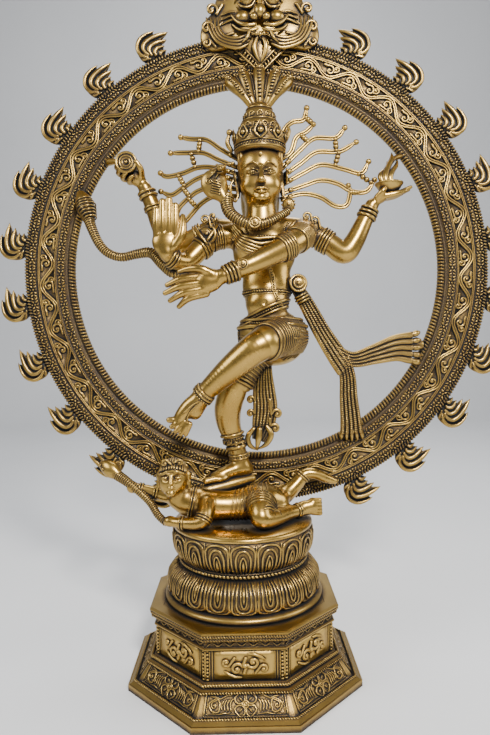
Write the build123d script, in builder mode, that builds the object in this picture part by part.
"""Cast brass dancing figure in a flaming ring, on a double lotus and an octagonal plinth.

Millimetres, +Z up, the front faces -Y. The origin is on the floor below the ring's centre.
The pedestal's own axis stands PEDESTAL_X beside it, because the figure is cast off centre.
"""

from build123d import *
import os
from math import cos, pi, radians, sin

os.makedirs("parts", exist_ok=True)

# ---- Driving dimensions -----------------------------------------------------------
RING_OUTER = 250.0  # radius of the ring's outer rope
RING_INNER = 195.0
RING_THICK = 14.0  # front to back
RING_Y = 30.0  # middle of the ring's thickness
RING_Z = 413.0
FLAME_COUNT = 20
FLAME_FIRST = 25.0  # degrees from the top to the first flame on each side
FLAME_STEP = 14.6
FLAME_REACH = 29.0  # tip beyond the ring's outer edge

PEDESTAL_X = -20.0
FOOT_APOTHEM = 114.0
SKIRT_APOTHEM = 106.0
DRUM_APOTHEM = 86.0
CORNICE_APOTHEM = 91.0
FOOT_HEIGHT = 6.0
SKIRT_TOP = 27.0
DRUM_TOP = 69.0
PLINTH_TOP = 77.0
WALL = 5.0  # wall of the hollow castings

LOTUS_RADIUS = 80.5  # widest point of the lower petals
LOTUS_WAIST = 60.0
SEAT_RADIUS = 72.0
SEAT_TOP = 155.6
LOWER_PETALS = 20
UPPER_PETALS = 18

ROD_RADIUS = 5.0  # M10 tie rod inside the pedestal
CREST_X = 7.0  # the crest mask sits a little beside the ring's centre line
STATUE_TOP = 745.0

ring_front = RING_Y - RING_THICK / 2
ring_axis = Axis((0, RING_Y, RING_Z), (0, 1, 0))


# ---- Shared makers ----------------------------------------------------------------
def hand_over(piece, name):
    """Labels a finished piece and writes it as one STEP file."""
    piece.part.label = name
    export_step(piece.part, f"parts/{name}.step")


def limb(stations, *neighbours):
    """Smooth solid through round or oval sections: (x, y, z, radius) or (x, y, z, deep, wide).

    Each section is square to the centre line, and its side is carried on from the one before.
    """
    points = [Vector(*station[:3]) for station in stations]
    side = Vector(0, 1, 0)
    with BuildPart() as solid:
        for index, station in enumerate(stations):
            ahead = points[min(index + 1, len(points) - 1)]
            behind = points[max(index - 1, 0)]
            along = (ahead - behind).normalized()
            side = (side - along * side.dot(along)).normalized()
            with BuildSketch(Plane(origin=points[index], x_dir=side, z_dir=along)):
                if len(station) == 4:
                    Circle(station[3])
                else:
                    Ellipse(station[3], station[4])
        loft()
        for neighbour in neighbours:
            add(neighbour.part, mode=Mode.SUBTRACT)
    return solid


def upright(stations, *neighbours):
    """Smooth solid through level oval sections: (x, y, z, half_width, half_depth)."""
    with BuildPart() as solid:
        for x, y, z, wide, deep in stations:
            with BuildSketch(Plane(origin=(x, y, z))):
                Ellipse(wide, deep)
        loft()
        for neighbour in neighbours:
            add(neighbour.part, mode=Mode.SUBTRACT)
    return solid


def octagon(apothem):
    """Regular octagon with one flat towards the front."""
    RegularPolygon(radius=apothem, side_count=8, major_radius=False, rotation=22.5)


def pedestal_plane(z):
    return Plane(origin=(PEDESTAL_X, 0, z))


def turned(points, axis_x, axis_y=0.0):
    """Closed outline of (radius, height) points turned about a vertical axis."""
    with BuildSketch(Plane(origin=(axis_x, axis_y, 0), x_dir=(1, 0, 0), z_dir=(0, -1, 0))) as half:
        with BuildLine():
            Polyline(*points, close=True)
        make_face()
    revolve(half.sketch, axis=Axis((axis_x, axis_y, 0), (0, 0, 1)))


# ---- Plinth: two hollow octagonal castings ------------------------------------------
with BuildPart() as lower_tier:
    with BuildSketch(pedestal_plane(0)):
        octagon(FOOT_APOTHEM)
    extrude(amount=FOOT_HEIGHT)
    with BuildSketch(pedestal_plane(FOOT_HEIGHT)):
        octagon(SKIRT_APOTHEM)
    with BuildSketch(pedestal_plane(SKIRT_TOP)):
        octagon(CORNICE_APOTHEM)
    loft()
    with BuildSketch(pedestal_plane(0)):
        octagon(FOOT_APOTHEM - 2 * WALL)
    with BuildSketch(pedestal_plane(SKIRT_TOP)):
        octagon(DRUM_APOTHEM - WALL)
    loft(mode=Mode.SUBTRACT)
hand_over(lower_tier, "plinth_lower_tier")

with BuildPart() as upper_tier:
    with BuildSketch(pedestal_plane(SKIRT_TOP)):
        octagon(DRUM_APOTHEM)
    extrude(amount=DRUM_TOP - SKIRT_TOP)
    with BuildSketch(pedestal_plane(DRUM_TOP)):
        octagon(CORNICE_APOTHEM)
    extrude(amount=PLINTH_TOP - DRUM_TOP)
    with BuildSketch(pedestal_plane(SKIRT_TOP)):
        octagon(DRUM_APOTHEM - WALL)
    extrude(amount=PLINTH_TOP - SKIRT_TOP - WALL, mode=Mode.SUBTRACT)
    with Locations((PEDESTAL_X, 0, PLINTH_TOP)):
        Hole(ROD_RADIUS + 0.5)
hand_over(upper_tier, "plinth_upper_tier")

PANEL_THICK = 1.6
with BuildPart() as emblem_panels:
    for turn in range(8):
        facing = 45.0 * turn - 90.0
        out = Vector(cos(radians(facing)), sin(radians(facing)), 0)
        centre = Vector(PEDESTAL_X, 0, 45.0) + out * DRUM_APOTHEM
        with BuildSketch(Plane(origin=centre, x_dir=(-out.Y, out.X, 0), z_dir=out)):
            RectangleRounded(56, 27, 1.5)
        extrude(amount=PANEL_THICK)
hand_over(emblem_panels, "emblem_panels")

skirt_lean = (SKIRT_APOTHEM - CORNICE_APOTHEM) / (SKIRT_TOP - FOOT_HEIGHT)
with BuildPart() as floral_panels:
    for turn in range(8):
        facing = 45.0 * turn - 90.0
        out = Vector(cos(radians(facing)), sin(radians(facing)), 0)
        middle = (SKIRT_APOTHEM + CORNICE_APOTHEM) / 2
        centre = Vector(PEDESTAL_X, 0, (SKIRT_TOP + FOOT_HEIGHT) / 2) + out * middle
        normal = (out + Vector(0, 0, skirt_lean)).normalized()
        with BuildSketch(Plane(origin=centre, x_dir=(-out.Y, out.X, 0), z_dir=normal)):
            RectangleRounded(68, 20, 1.5)
        extrude(amount=PANEL_THICK)
hand_over(floral_panels, "floral_panels")

with BuildPart() as rope_mouldings:
    for z, apothem, inner, high in ((27.0, 93.0, DRUM_APOTHEM, 3.2), (72.2, 92.6, CORNICE_APOTHEM, 3.6)):
        with BuildSketch(pedestal_plane(z)):
            octagon(apothem)
            RegularPolygon(inner, 8, major_radius=False, rotation=22.5, mode=Mode.SUBTRACT)
        extrude(amount=high)
hand_over(rope_mouldings, "rope_mouldings")

# ---- Double lotus: turned tiers and rings of petals ---------------------------------
with BuildPart() as lotus_base_ring:
    with BuildSketch(pedestal_plane(PLINTH_TOP)):
        Circle(81.0)
        Circle(58.0, mode=Mode.SUBTRACT)
    extrude(amount=7.5)
    fillet(lotus_base_ring.edges().filter_by(GeomType.CIRCLE).group_by(SortBy.RADIUS)[-1], 3.0)
hand_over(lotus_base_ring, "lotus_base_ring")

lower_outline = ((0, 84.5), (76, 84.5), (78, 92), (78, 100), (74, 107), (66, 112.5), (0, 112.5))
upper_outline = ((0, 120), (62, 120), (68, 126), (71.5, 136), (71.5, 147), (66, 150), (0, 150))

with BuildPart() as lower_lotus:
    turned(lower_outline, PEDESTAL_X)
    with BuildSketch(pedestal_plane(84.5)):
        Circle(58.0)
    extrude(amount=22.0, mode=Mode.SUBTRACT)
    with Locations((PEDESTAL_X, 0, 112.5)):
        Hole(ROD_RADIUS + 0.5)
hand_over(lower_lotus, "lotus_lower_tier")

with BuildPart() as waist_band:
    with BuildSketch(pedestal_plane(112.5)):
        Circle(63.0)
        Circle(ROD_RADIUS + 0.5, mode=Mode.SUBTRACT)
    extrude(amount=7.5)
    fillet(waist_band.edges().filter_by(GeomType.CIRCLE).group_by(SortBy.RADIUS)[-1], 2.5)
hand_over(waist_band, "lotus_waist_band")

with BuildPart() as upper_lotus:
    turned(upper_outline, PEDESTAL_X)
    with BuildSketch(pedestal_plane(120)):
        Circle(52.0)
    extrude(amount=24.0, mode=Mode.SUBTRACT)
    with Locations((PEDESTAL_X, 0, 150)):
        Hole(ROD_RADIUS + 0.5)
hand_over(upper_lotus, "lotus_upper_tier")


def petal_ring(count, outline, core, bottom, top, points_up, name):
    """Pointed petals that hug a turned tier, cut from one shell by radial prisms."""
    height = top - bottom
    width = 2 * pi * LOTUS_RADIUS / count - 3.0
    with BuildPart() as petals:
        turned(outline, PEDESTAL_X)
        add(core.part, mode=Mode.SUBTRACT)
        with BuildSketch(pedestal_plane(bottom)):
            Circle(60.0)
        extrude(amount=height, mode=Mode.SUBTRACT)
        for index in range(count):
            facing = radians(360.0 * index / count - 90.0)
            out = Vector(cos(facing), sin(facing), 0)
            base = bottom if points_up else top
            up = 1.0 if points_up else -1.0
            centre = Vector(PEDESTAL_X, 0, base) + out * 50.0
            plane = Plane(origin=centre, x_dir=(-out.Y * up, out.X * up, 0), z_dir=out)
            with BuildSketch(plane):
                with BuildLine():
                    Polyline((0, height), (-width / 2, height * 0.45), (-width / 2, 0), (width / 2, 0),
                             (width / 2, height * 0.45), close=True)
                make_face()
        extrude(amount=60.0, mode=Mode.INTERSECT)
    hand_over(petals, name)


petal_ring(LOWER_PETALS, ((0, 84.5), (78, 84.5), (80.5, 92), (80.5, 100), (76.5, 108.5), (68, 112.5), (0, 112.5)),
           lower_lotus, 84.5, 112.5, False, "lotus_lower_petals")
petal_ring(UPPER_PETALS, ((0, 120), (65, 120), (71, 125), (74.4, 136), (74.4, 146), (73, 150), (0, 150)),
           upper_lotus, 120.0, 150.0, True, "lotus_upper_petals")

with BuildPart() as seat_disc:
    with BuildSketch(pedestal_plane(150)):
        Circle(SEAT_RADIUS)
        Circle(ROD_RADIUS + 0.5, mode=Mode.SUBTRACT)
    extrude(amount=SEAT_TOP - 150)
    fillet(seat_disc.edges().filter_by(GeomType.CIRCLE).group_by(SortBy.RADIUS)[-1], 2.2)
hand_over(seat_disc, "seat_disc")

# ---- Tie rod, cross bar and nut that draw the hollow castings together ----------------
with BuildPart() as tie_rod:
    with BuildSketch(pedestal_plane(10)):
        Circle(ROD_RADIUS)
    extrude(amount=SEAT_TOP - 12)
hand_over(tie_rod, "tie_rod")

with BuildPart() as cross_bar:
    with BuildSketch(pedestal_plane(22)):
        Rectangle(2 * (DRUM_APOTHEM - WALL) - 2, 22)
        Circle(ROD_RADIUS + 0.4, mode=Mode.SUBTRACT)
    extrude(amount=5)
hand_over(cross_bar, "tie_cross_bar")

with BuildPart() as tie_nut:
    with BuildSketch(pedestal_plane(13.6)):
        RegularPolygon(radius=8.5, side_count=6, major_radius=False)
        Circle(ROD_RADIUS, mode=Mode.SUBTRACT)
    extrude(amount=8.4)
hand_over(tie_nut, "tie_nut")

# ---- Ring: rope, leaf band, scroll band, leaf band and rope, all one casting ----------
with BuildPart() as aureole_ring:
    with BuildSketch(Plane(origin=(0, RING_Y, RING_Z), x_dir=(0, 1, 0), z_dir=(1, 0, 0))):
        with Locations((2.0, (RING_OUTER + RING_INNER) / 2)):
            Rectangle(RING_THICK - 4.0, RING_OUTER - RING_INNER - 5.0)
        with Locations((0, RING_INNER + 4.5)):
            Ellipse(RING_THICK / 2, 4.5)
        with Locations((0, RING_OUTER - 2.8)):
            Ellipse(RING_THICK / 2, 2.8)
        with Locations((-2.2, 210.0), (-2.2, 240.5)):
            Ellipse(4.8, 4.2)
    revolve(axis=ring_axis)
hand_over(aureole_ring, "aureole_ring")


def flame_places():
    """Turn about the ring's axis, from the top, and the side it leans to, for every flame."""
    for index in range(FLAME_COUNT // 2):
        turn = FLAME_FIRST + FLAME_STEP * index
        yield turn, 1
        yield -turn, -1


with BuildPart() as flames:
    for turn, side in flame_places():
        up = Vector(sin(radians(turn)), 0, cos(radians(turn)))
        across = Vector(cos(radians(turn)), 0, -sin(radians(turn))) * side
        root = Vector(0, ring_front + 3, RING_Z) + up * RING_OUTER
        with BuildSketch(Plane(origin=root, x_dir=across, z_dir=across.cross(up))):
            with BuildLine():
                Spline((0, -3), (11, 2), (13, 11), (6, FLAME_REACH), (4, 14), (-3, FLAME_REACH - 2),
                       (-4, 13), (-13, 17), (-11, 6), periodic=True)
            make_face()
        extrude(amount=8.0 * (across.cross(up)).Y)
    with BuildSketch(Plane(origin=(0, 0, RING_Z), x_dir=(1, 0, 0), z_dir=(0, 1, 0))):
        Circle(RING_OUTER)
    extrude(amount=60.0, mode=Mode.SUBTRACT)
hand_over(flames, "aureole_flames")

with BuildPart() as crest:
    with BuildSketch(Plane(origin=(CREST_X, 10.0, 0), x_dir=(1, 0, 0), z_dir=(0, -1, 0))):
        with BuildLine():
            Polyline((0, 621), (24, 645), (64, 650), (58, 676), (44, 690), (34, 716), (14, 728), (0, STATUE_TOP),
                     (-14, 728), (-34, 716), (-44, 690), (-58, 676), (-64, 650), (-24, 645), close=True)
        make_face()
    extrude(amount=-26.0)
    with BuildSketch(Plane(origin=(CREST_X, 10.0, 672), x_dir=(1, 0, 0), z_dir=(0, -1, 0))):
        Circle(24)
    extrude(amount=8.0)
    add(aureole_ring.part, mode=Mode.SUBTRACT)
    add(flames.part, mode=Mode.SUBTRACT)
hand_over(crest, "kirtimukha_crest")

with BuildPart() as ring_feet:
    with Locations((-46, RING_Y, SEAT_TOP), (14, RING_Y, SEAT_TOP)):
        Box(16, 10, 13, align=(Align.CENTER, Align.CENTER, Align.MIN))
    add(aureole_ring.part, mode=Mode.SUBTRACT)
hand_over(ring_feet, "aureole_feet")

# ---- Dwarf under the dancer's foot ----------------------------------------------------
dwarf_body = limb([(-92, -22, 181, 9), (-76, -22, 176, 16), (-54, -20, 173.5, 16.5), (-34, -18, 172.5, 15.5),
                   (-14, -16, 173.5, 17), (2, -14, 175, 18), (16, -12, 173, 13)])
hand_over(dwarf_body, "dwarf_body")

with BuildPart() as dwarf_head:
    with Locations((-85, -32, 205.5)):
        Sphere(18)
    with BuildSketch(Plane(origin=(-86, -27, 192), x_dir=(1, 0, 0), z_dir=(0, 0.2, -1))):
        Circle(9)
    extrude(amount=9)
    add(dwarf_body.part, mode=Mode.SUBTRACT)
hand_over(dwarf_head, "dwarf_head")

dwarf_right_arm = limb([(-54, -34, 178, 8), (-55, -44, 170, 7.5), (-62, -48, 163.5, 6.5), (-76, -45, 162.5, 5),
                        (-92, -41, 161.5, 4)], dwarf_body)
hand_over(dwarf_right_arm, "dwarf_right_arm")
dwarf_left_arm = limb([(-92, -17, 181, 7.5), (-104, -15, 183, 6), (-118, -14, 188, 5), (-131, -14, 191, 6)],
                      dwarf_body, dwarf_head)
hand_over(dwarf_left_arm, "dwarf_left_arm")
dwarf_right_leg = limb([(-4, -28, 178, 11), (-3, -42, 172, 11), (0, -48, 167, 9.5), (12, -38, 166, 8),
                        (28, -22, 165, 6.5), (38, -13, 164, 6), (50, -5, 164, 8, 5)], dwarf_body)
hand_over(dwarf_right_leg, "dwarf_right_leg")
dwarf_left_leg = limb([(18, -8, 172, 9), (30, 0, 180, 8), (42, 6, 192, 6), (54, 8, 197.5, 5.5), (68, 8, 193, 5),
                       (78, 8, 190, 3)], dwarf_body, dwarf_right_leg)
hand_over(dwarf_left_leg, "dwarf_left_leg")
dwarf_cobra = limb([(-96, -38, 160, 3.4), (-104, -30, 167, 3.6), (-111, -24, 176, 3.8), (-121, -21, 184, 4),
                    (-133, -16, 195, 4.5), (-145, -9, 201, 6), (-158, -4, 207, 12, 8), (-168, -2, 210, 4)],
                   dwarf_left_arm, dwarf_right_arm)
hand_over(dwarf_cobra, "dwarf_cobra")

# ---- Dancer: torso, head and dress ------------------------------------------------------
torso = upright([(12, -7, 352, 31, 22), (9, -9, 366, 29, 21.5), (8, -9, 380, 27, 20), (8, -8, 395, 27.5, 19),
                 (7, -6, 412, 31, 20), (7, -5, 430, 38, 21), (7, -4, 446, 41, 18), (5, -6, 457, 23, 15)])
hand_over(torso, "torso")

neck = upright([(4.8, -7.5, 457, 14, 13), (4.5, -8, 464, 13.2, 12.6), (4, -9, 484, 13.5, 13)])
skull = upright([(4, -17, 472, 7, 6), (4, -14, 480, 14.5, 14), (4, -12, 490, 19.5, 20), (4, -10, 503, 22.8, 23),
                 (4, -9, 516, 23.2, 24), (4, -9, 532, 20, 21)])
with BuildPart() as head:
    add(skull.part)
    add(neck.part)
hand_over(head, "head")

with BuildPart() as crown:
    turned(((0, 524), (26.5, 524), (28, 532), (25, 541), (20, 545), (20, 555), (15, 559), (14, 568), (9, 575),
            (0, 575)), 4, -8)
    add(head.part, mode=Mode.SUBTRACT)
hand_over(crown, "crown")

with BuildPart() as cobra_crest:
    for lean in (-52, -26, 0, 26, 52):
        reach = 24.0 if lean else 28.0
        tip = Vector(5 + reach * sin(radians(lean)), 0, 580 + reach * cos(radians(lean)) * 0.9)
        with BuildSketch(Plane(origin=(tip.X, 2, tip.Z), x_dir=(1, 0, 0), z_dir=(0, -1, 0)).rotated((0, lean, 0))):
            Ellipse(7.5, 13)
        extrude(amount=-10)
    with BuildSketch(Plane(origin=(5, 2, 580), x_dir=(1, 0, 0), z_dir=(0, -1, 0))):
        Ellipse(14, 14)
    extrude(amount=-10)
    with Locations((5, 12, 608)):
        Box(24, 11, 10, align=(Align.CENTER, Align.MIN, Align.CENTER))
    add(crown.part, mode=Mode.SUBTRACT)
    add(aureole_ring.part, mode=Mode.SUBTRACT)
    add(crest.part, mode=Mode.SUBTRACT)
hand_over(cobra_crest, "cobra_crest")

with BuildPart() as ear_ornaments:
    for side, ear_x, drop in ((1, 30.0, 474.0), (-1, -22.0, 480.0)):
        with BuildSketch(Plane(origin=(ear_x - 3 * side, -6, 500), x_dir=(0, 1, 0), z_dir=(side, 0, 0))):
            Ellipse(6, 13)
        extrude(amount=5)
        with BuildSketch(Plane(origin=(ear_x + side, -15, drop), x_dir=(1, 0, 0), z_dir=(0, -1, 0))):
            Circle(7.5)
        extrude(amount=-7)
        with Locations((ear_x + side, -9, (drop + 492) / 2)):
            Box(4, 5, 500 - drop)
    for piece in (head, crown, torso):
        add(piece.part, mode=Mode.SUBTRACT)
hand_over(ear_ornaments, "ear_ornaments")

collar = upright([(5, -6.5, 457, 21, 15.5), (5, -7, 460.5, 19, 17), (4.8, -7.5, 464, 16.8, 16)], head)
hand_over(collar, "collar")

neck_cobra = limb([(-30, -28, 485, 12, 7), (-30, -28, 474, 7), (-25, -30, 464, 5.5), (-14, -33, 456, 5),
                   (-2, -34, 451, 5), (12, -33, 453, 4.5), (24, -28, 461, 3.5)], torso, head, collar)
hand_over(neck_cobra, "neck_cobra")

shorts = upright([(14, -8, 318, 20, 18), (15, -8, 330, 31, 22), (14, -8, 342, 34, 23), (12, -7, 352, 33, 22.5)])
thigh_raised = limb([(30, -14, 340, 19), (20, -32, 340, 18.5), (11, -46, 338, 17)])
thigh_standing = limb([(2, -4, 342, 19), (-10, -8, 322, 17), (-21, -12, 301, 14.5)])
with BuildPart() as shorts_all:
    add(shorts.part)
    add(thigh_raised.part)
    add(thigh_standing.part)
    add(torso.part, mode=Mode.SUBTRACT)
hand_over(shorts_all, "shorts")

belt = upright([(12, -8, 349, 35.5, 25), (11, -8, 357, 33.5, 25), (9, -9, 366, 31, 24)], torso, shorts_all)
hand_over(belt, "waist_belt")
cross_band = limb([(-12, -26, 441, 3), (0, -30, 430, 3), (12, -29, 410, 3), (15, -28.5, 392, 3),
                   (21, -28, 376, 3), (32, -22, 368, 3)], torso, collar, neck_cobra, belt)
hand_over(cross_band, "cross_band")

standing_leg = limb([(-21, -12, 301, 13.5), (-26, -13, 290, 13.6), (-33, -7, 270, 13.8), (-32, -3, 252, 12),
                     (-27, 0, 236, 9.8), (-23, 0, 220, 9), (-20, 1, 210, 9)], shorts_all)
hand_over(standing_leg, "standing_leg")
foot_pad = limb([(-9, 0, 190, 6), (-24, -6, 188, 6.5), (-40, -12, 186.5, 6.5), (-54, -17, 186, 6),
                 (-60, -19, 186, 3)], dwarf_body)
hand_over(foot_pad, "foot_pad")
standing_foot = limb([(-12, 1, 203, 6), (-20, 0, 204, 9), (-32, -6, 200, 7), (-44, -12, 197, 8, 4.5),
                      (-54, -16, 195, 7, 3)], standing_leg, foot_pad)
hand_over(standing_foot, "standing_foot")

raised_leg = limb([(11, -46, 338, 16.5), (4, -54, 335, 15.5), (-8, -58, 328, 14.5), (-28, -55, 312, 13),
                   (-46, -51, 296, 10), (-55, -48, 288, 8.5)], shorts_all)
hand_over(raised_leg, "raised_leg")
raised_foot = limb([(-55, -48, 288, 8.5), (-62, -47, 280, 10), (-70, -47, 270, 12, 8), (-77, -47, 260, 12, 5.5),
                    (-80, -47, 254, 11, 3)], raised_leg)
hand_over(raised_foot, "raised_foot")

# ---- Four arms with their hands ---------------------------------------------------------
front_right_arm = limb([(-26, -6, 446, 12), (-44, -10, 442, 10.5), (-58, -16, 430, 10), (-70, -22, 419, 9.5),
                        (-80, -32, 419, 8.5), (-88, -38, 424, 8)], torso, collar, neck_cobra)
hand_over(front_right_arm, "front_right_arm")
front_right_hand = limb([(-88, -38.5, 424.5, 6, 9), (-89, -40, 437, 6, 12), (-88, -41, 449, 5, 11.5),
                         (-86, -41, 464, 4, 10), (-84, -40, 477, 3, 6)], front_right_arm)
hand_over(front_right_hand, "front_right_hand")

rear_right_arm = limb([(-20, 6, 450, 13), (-44, 8, 455, 11.5), (-66, 9, 446, 10.5), (-86, 9, 441, 10.5),
                       (-99, 7, 456, 9.5), (-107, 6, 478, 8.5), (-115, 4, 498, 7.5)],
                      torso, front_right_arm, collar)
hand_over(rear_right_arm, "rear_right_arm")
rear_right_hand = limb([(-115, 4, 498, 7.5), (-121, 3, 506, 10, 8), (-129, 3, 516, 12, 9),
                        (-135, 6, 525, 8, 6)], rear_right_arm)
hand_over(rear_right_hand, "rear_right_hand")
with BuildPart() as drum:
    with BuildSketch(Plane(origin=(-131, -3, 520), x_dir=(1, 0, 0), z_dir=(0.15, -1, 0))):
        Circle(10.5)
    extrude(amount=7)
    with BuildSketch(Plane(origin=(-131, -3, 520), x_dir=(1, 0, 0), z_dir=(0.15, -1, 0))):
        Circle(6.5)
    extrude(amount=-8)
    with BuildSketch(Plane(origin=(-131, 5, 520), x_dir=(1, 0, 0), z_dir=(-1, 0.75, 0.35))):
        Circle(5)
    extrude(amount=32)
    add(rear_right_hand.part, mode=Mode.SUBTRACT)
    add(aureole_ring.part, mode=Mode.SUBTRACT)
hand_over(drum, "hand_drum")

front_left_arm = limb([(47, -2, 453, 12), (45, -22, 443, 12.5), (33, -37, 432, 12.5), (14, -48, 420, 11.5),
                       (-10, -57, 408, 9.5), (-33, -62, 398, 7.5)], torso)
hand_over(front_left_arm, "front_left_arm")
front_left_hand = limb([(-33, -62, 398, 7.5), (-44, -62.5, 394, 6, 8.5), (-56, -63, 390, 5, 10.5),
                        (-70, -62, 386, 3.5, 11), (-84, -60, 383, 2.5, 9)], front_left_arm)
hand_over(front_left_hand, "front_left_hand")

rear_left_arm = limb([(34, 6, 450, 13), (52, 4, 450, 12), (72, 0, 438, 11), (89, -5, 425, 11),
                      (99, -6, 437, 10), (109, -5, 456, 8.5), (118, -4, 475, 7)], torso, front_left_arm, collar)
hand_over(rear_left_arm, "rear_left_arm")
rear_left_hand = limb([(118, -4, 475, 7), (124, -4, 480, 8, 6), (134, -4, 482.5, 9, 4), (146, -4, 486, 5, 3),
                       (157, -4, 491, 2, 2)], rear_left_arm)
hand_over(rear_left_hand, "rear_left_hand")
hand_flame = limb([(135, -4, 489, 6), (135, -1, 503, 6), (140, 7, 516, 5), (148, 16, 527, 3.5),
                   (156, 26, 534, 3)], aureole_ring)
with BuildPart() as flame_bowl:
    turned(((0, 485.5), (7, 485.5), (13, 492), (14, 495), (12, 495), (0, 490)), 135, -5)
    add(hand_flame.part)
    add(rear_left_hand.part, mode=Mode.SUBTRACT)
hand_over(flame_bowl, "flame_bowl")

# ---- Rings on the limbs: turned bands around each limb's centre line --------------------


def limb_bands(places, name, *neighbours):
    """Raised cuffs: each is (x, y, z, direction, outer radius, length), cut where limbs pass."""
    with BuildPart() as bands:
        for x, y, z, direction, outer, length in places:
            with BuildSketch(Plane(origin=(x, y, z), z_dir=direction)):
                Circle(outer)
            extrude(amount=length / 2, both=True)
        for neighbour in neighbours:
            add(neighbour.part, mode=Mode.SUBTRACT)
    hand_over(bands, name)
    return bands


armlets = limb_bands([(-54, -14, 434, (-1, -0.4, -0.7), 12.5, 7), (-54, 9, 451, (-1, 0, -0.3), 13, 7),
                      (30, -39, 428, (-1, -0.5, -0.4), 14.5, 9), (66, 1, 441, (1, -0.2, -0.6), 13, 7)],
                     "armlets", front_right_arm, rear_right_arm, front_left_arm, rear_left_arm, torso, collar)
bracelets = limb_bands([(-84, -35, 421.5, (-1, -0.7, 0.5), 10.5, 6), (-112, 5, 491, (-0.35, 0, 1), 10.5, 8),
                        (-28, -61, 400, (-1, -0.2, -0.4), 10, 10), (114, -4.5, 467, (0.45, 0, 1), 10.5, 8)],
                       "bracelets", front_right_arm, rear_right_arm, front_left_arm, rear_left_arm)
anklets = limb_bands([(-53, -48.5, 290, (-1, 0.3, -0.9), 12.5, 5), (-28, -1, 239, (0.2, 0.1, -1), 13.5, 6),
                      (-23, 0, 222, (0.2, 0.1, -1), 13, 12)],
                     "anklets", raised_leg, raised_foot, standing_leg, standing_foot)


# ---- Streaming hair, sashes and snakes --------------------------------------------------
def strand(points, radius, *neighbours):
    """Round bar along straight runs joined by arcs."""
    bends = []
    for before, here, after in zip(points, points[1:], points[2:]):
        into = Vector(*here) - Vector(*before)
        away = Vector(*after) - Vector(*here)
        turn = radians(into.get_angle(away))
        shorter = min(into.length, away.length)
        bends.append(min(0.42 * shorter / max(sin(turn / 2) / cos(turn / 2), 0.05), 60.0))
    with BuildPart() as bar:
        with BuildLine() as route:
            FilletPolyline(*points, radius=bends)
        start = Plane(origin=points[0], z_dir=Vector(*points[1]) - Vector(*points[0]))
        with BuildSketch(start):
            Circle(radius)
        sweep(path=route.wire())
        for neighbour in neighbours:
            add(neighbour.part, mode=Mode.SUBTRACT)
    return bar


HAIR_RADIUS = 2.4
hair_left = {
    "a": [(24, 0, 532), (29, 2, 552), (38, 4, 562), (50, 5, 566), (53, 6, 578)],
    "b": [(26, 0, 522), (37, 3, 531), (43, 4, 547), (53, 5, 552)],
    "c": [(27, 0, 512), (46, 4, 534), (60, 6, 546), (84, 8, 547), (92, 8, 555)],
    "d": [(28, 0, 505), (46, 4, 520), (62, 6, 532), (86, 8, 533), (104, 10, 541)],
    "e": [(28, 0, 497), (48, 4, 510), (66, 6, 519), (90, 9, 516), (108, 10, 508), (117, 11, 522)],
    "f": [(28, 0, 489), (48, 4, 497), (66, 6, 503), (84, 8, 500), (98, 9, 493), (112, 10, 492),
          (123, 11, 502)],
    "g": [(28, 0, 483), (47, 4, 489), (64, 6, 486), (82, 8, 477), (96, 9, 478), (97, 9, 490)],
}
with BuildPart() as locks_left:
    for route in hair_left.values():
        add(strand(route, HAIR_RADIUS).part)
    for piece in (head, crown, torso, rear_left_arm, front_left_arm):
        add(piece.part, mode=Mode.SUBTRACT)
hand_over(locks_left, "hair_locks_left")

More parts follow.
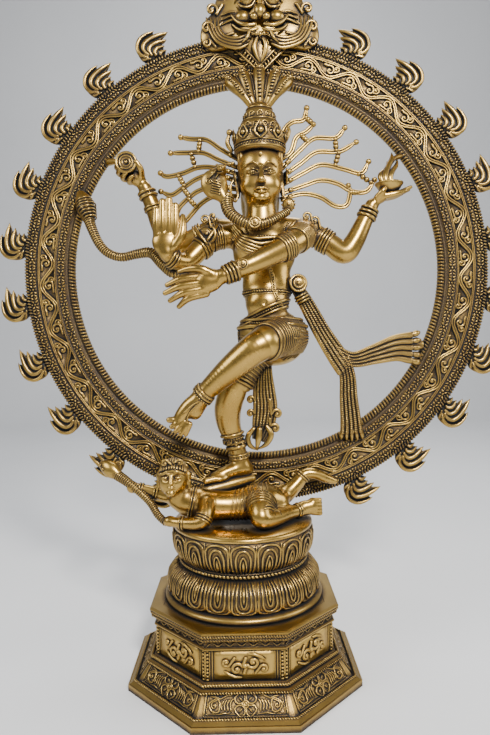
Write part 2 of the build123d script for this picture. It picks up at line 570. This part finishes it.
hair_right = {
    "a": [(-22, 0, 524), (-38, 4, 535), (-52, 6, 545), (-68, 8, 548), (-76, 8, 544)],
    "b": [(-23, 0, 516), (-40, 4, 524), (-56, 6, 532), (-70, 8, 534), (-86, 8, 528)],
    "c": [(-23, 0, 509), (-42, 4, 516), (-58, 6, 518), (-74, 8, 514), (-92, 8, 510), (-98, 9, 516)],
    "d": [(-23, 0, 502), (-42, 4, 510), (-58, 6, 507), (-74, 8, 500), (-86, 8, 491), (-98, 9, 492)],
    "e": [(-23, 0, 494), (-42, 4, 498), (-60, 6, 494), (-72, 8, 486), (-80, 8, 478)],
    "f": [(-24, 0, 487), (-42, 4, 487), (-56, 6, 482), (-68, 7, 470), (-78, 8, 460)],
}
with BuildPart() as locks_right:
    for route in hair_right.values():
        add(strand(route, HAIR_RADIUS).part)
    for piece in (head, crown, torso, rear_right_arm, front_right_arm, neck_cobra):
        add(piece.part, mode=Mode.SUBTRACT)
hand_over(locks_right, "hair_locks_right")

side_sash = limb([(38, -12, 392, 7), (48, -10, 376, 4, 9), (64, -7, 347, 4, 10), (84, -1, 318, 4, 11)],
                 torso, belt, shorts_all)
sash_out = limb([(82, -1, 321, 4, 7), (104, 4, 319, 4, 8), (128, 9, 322, 4, 12), (160, 17, 329, 5, 17)])
sash_down = limb([(84, -1, 318, 4, 8), (91, 4, 300, 4, 9), (93, 9, 276, 4, 10), (98, 18, 246, 5, 12)])
with BuildPart() as sash_all:
    add(side_sash.part)
    add(sash_out.part)
    add(sash_down.part)
    with Locations((168, 20.5, 331), (99, 20.5, 242)):
        Box(12, 6, 14)
    add(aureole_ring.part, mode=Mode.SUBTRACT)
hand_over(sash_all, "side_sash")

hanging_sash = limb([(6, -4, 322, 5, 6), (4, -1, 300, 4, 9), (5, 1, 282, 4, 12), (8, 2, 262, 4, 14),
                     (4, 0, 244, 4, 12), (-7, -3, 230, 4, 6)], shorts_all, standing_leg, anklets)
hand_over(hanging_sash, "hanging_sash")

arm_cobra = limb([(-74, -22, 410, 4.5), (-90, -20, 414, 4.5), (-106, -13, 427, 5), (-122, -9, 427.5, 4.7),
                  (-138, -6, 425, 4.5), (-152, -3, 430, 4.5), (-162, 0, 440, 4.7), (-171, 5, 458, 5),
                  (-176, 9, 472, 7, 8), (-181, 14, 486, 9, 9), (-186, 19, 497, 4, 5)],
                 front_right_arm, rear_right_arm, armlets, bracelets, aureole_ring)
hand_over(arm_cobra, "arm_cobra")
